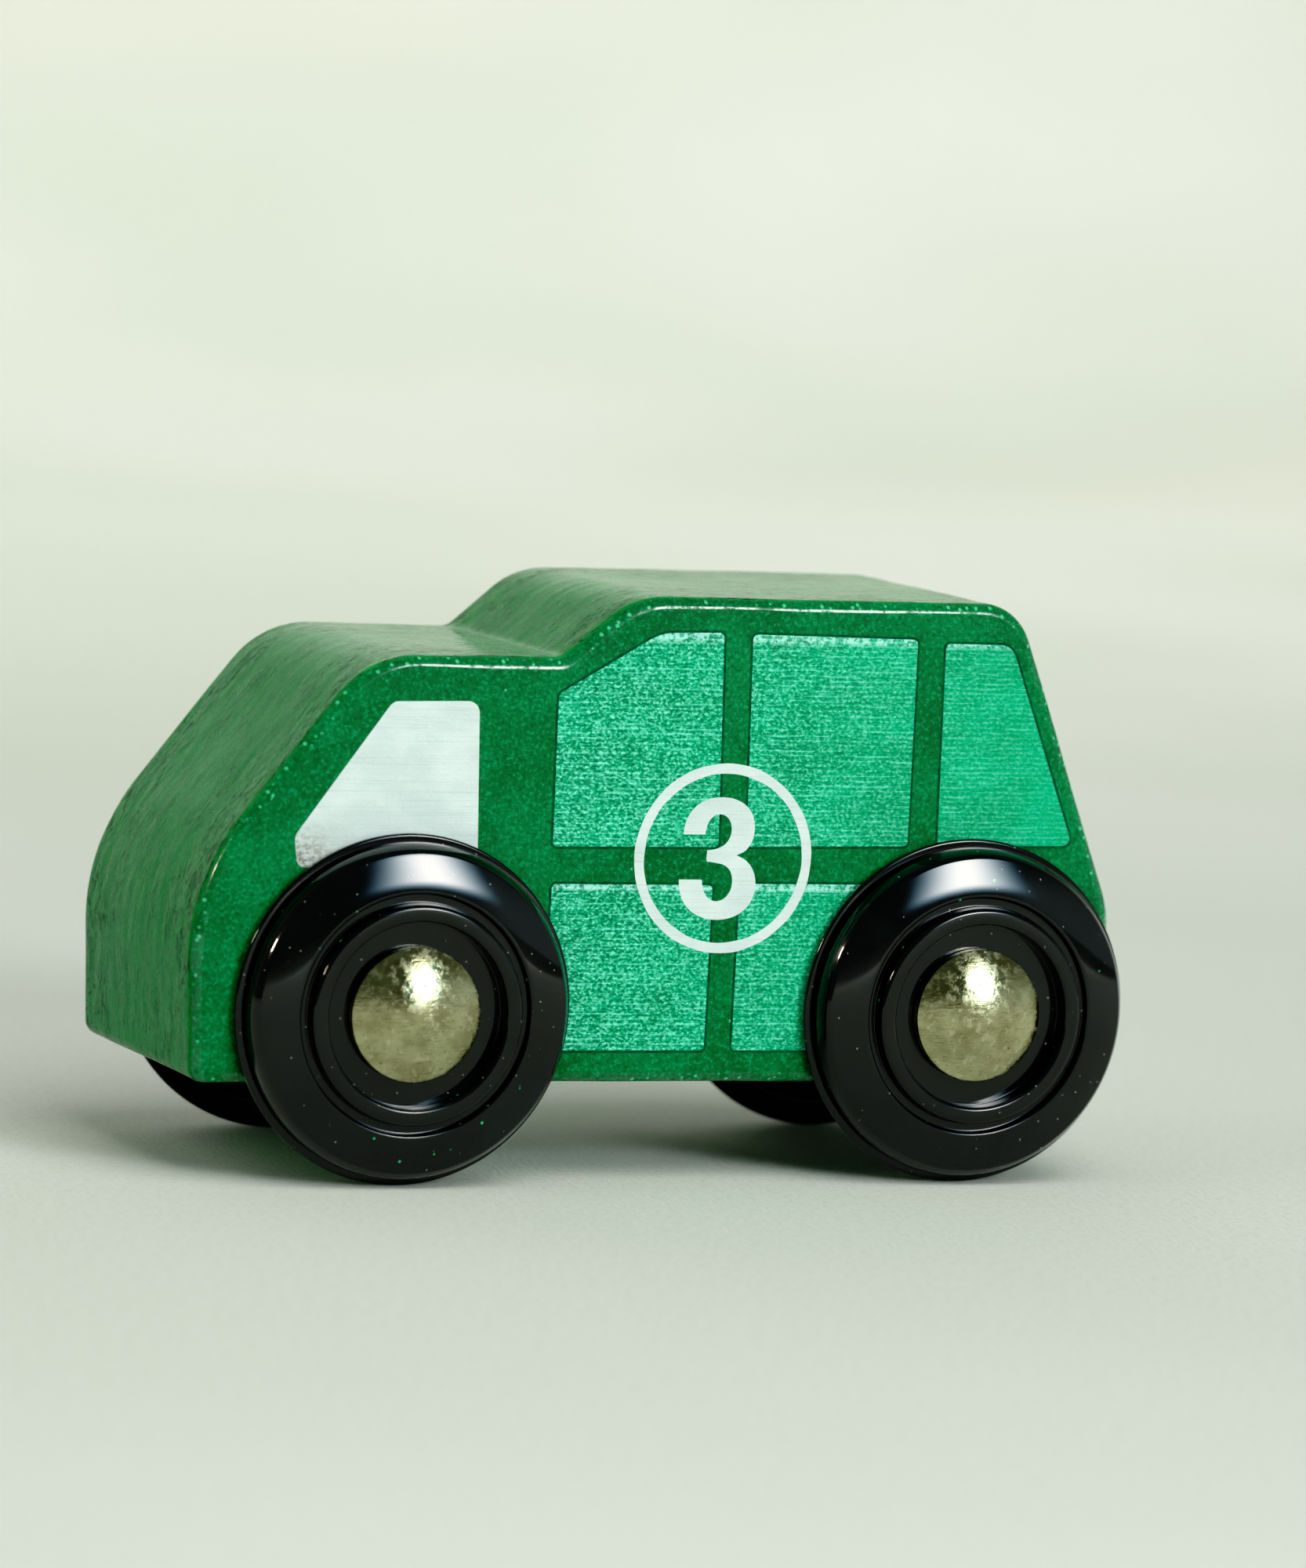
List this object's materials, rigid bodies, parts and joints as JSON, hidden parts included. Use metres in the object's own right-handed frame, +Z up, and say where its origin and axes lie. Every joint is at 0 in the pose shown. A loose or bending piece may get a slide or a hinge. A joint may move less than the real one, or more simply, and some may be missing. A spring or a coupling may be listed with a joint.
{
  "type": "pull back car",
  "caption": "Small painted wooden toy car with flanged plastic wheels, domed axle caps and a spring pull-back motor on the rear axle.",
  "frame": {"origin": "on the ground, under the middle of the car's bounding box", "axes": "+X to the car's front, +Y to its left side, +Z up"},
  "size_m": [0.0656, 0.0318, 0.0386],
  "materials": {
    "body_paint": "gloss enamel over sanded wood",
    "print_green": "printed ink film, satin",
    "print_white": "printed ink film, satin",
    "wheel_plastic": "gloss, injection moulded",
    "cap_metal": "satin nickel plate",
    "axle_steel": "bright drawn",
    "gear_plastic": "natural acetal",
    "spring_steel": "blued spring steel",
    "motor_plastic": "fine moulded texture",
    "screw_steel": "zinc plate"
  },
  "bodies": {
    "car_body": {"wooden_body": "body_paint", "motor_case_left": "motor_plastic", "motor_case_right": "motor_plastic", "motor_case_screws": "screw_steel", "motor_mounting_screws": "screw_steel", "transfer_gear_pin": "axle_steel", "spring_arbor": "axle_steel", "mainspring": "spring_steel"},
    "rear_wheelset": {"rear_axle": "axle_steel", "axle_pinion": "gear_plastic", "rear_left_wheel": "wheel_plastic", "rear_right_wheel": "wheel_plastic", "rear_left_axle_cap": "cap_metal", "rear_right_axle_cap": "cap_metal"},
    "front_axle_set": {"front_axle": "axle_steel", "front_left_axle_cap": "cap_metal", "front_right_axle_cap": "cap_metal"},
    "front_left_wheel": {"front_left_wheel": "wheel_plastic"},
    "front_right_wheel": {"front_right_wheel": "wheel_plastic"},
    "transfer_gear": {"transfer_gear": "gear_plastic"},
    "spring_gear": {"spring_gear": "gear_plastic"},
    "idler_shaft": {"winding_idler_shaft": "axle_steel"},
    "winding_idler": {"winding_idler": "gear_plastic"}
  },
  "joints": [
    {"name": "rear_axle_spin", "type": "hinge", "parent": "car_body", "child": "rear_wheelset", "pos_m": [-0.0213, 0, 0.0115], "axis": [0, 1, 0], "continuous": true},
    {"name": "transfer_gear_spin", "type": "hinge", "parent": "car_body", "child": "transfer_gear", "pos_m": [-0.01534, 0, 0.01215], "axis": [0, 1, 0], "continuous": true},
    {"name": "spring_gear_spin", "type": "hinge", "parent": "car_body", "child": "spring_gear", "pos_m": [-0.01442, 0, 0.01969], "axis": [0, 1, 0], "continuous": true, "deforming": ["mainspring"]},
    {"name": "winding_idler_shift", "type": "slide", "parent": "car_body", "child": "idler_shaft", "axis": [0.8867, 0, -0.4624], "range_m": [0, 0.0009]},
    {"name": "winding_idler_spin", "type": "hinge", "parent": "idler_shaft", "child": "winding_idler", "pos_m": [-0.02309, 0, 0.01648], "axis": [0, 1, 0], "continuous": true},
    {"name": "front_axle_spin", "type": "hinge", "parent": "car_body", "child": "front_axle_set", "pos_m": [0.01835, 0, 0.0115], "axis": [0, 1, 0], "continuous": true},
    {"name": "front_left_wheel_spin", "type": "hinge", "parent": "front_axle_set", "child": "front_left_wheel", "pos_m": [0.01835, 0, 0.0115], "axis": [0, 1, 0], "continuous": true},
    {"name": "front_right_wheel_spin", "type": "hinge", "parent": "front_axle_set", "child": "front_right_wheel", "pos_m": [0.01835, 0, 0.0115], "axis": [0, 1, 0], "continuous": true}
  ],
  "couplings": [
    {"joint": "transfer_gear_spin", "follows": "rear_axle_spin", "ratio": -0.5},
    {"joint": "spring_gear_spin", "follows": "rear_axle_spin", "ratio": 0.13333}
  ]
}
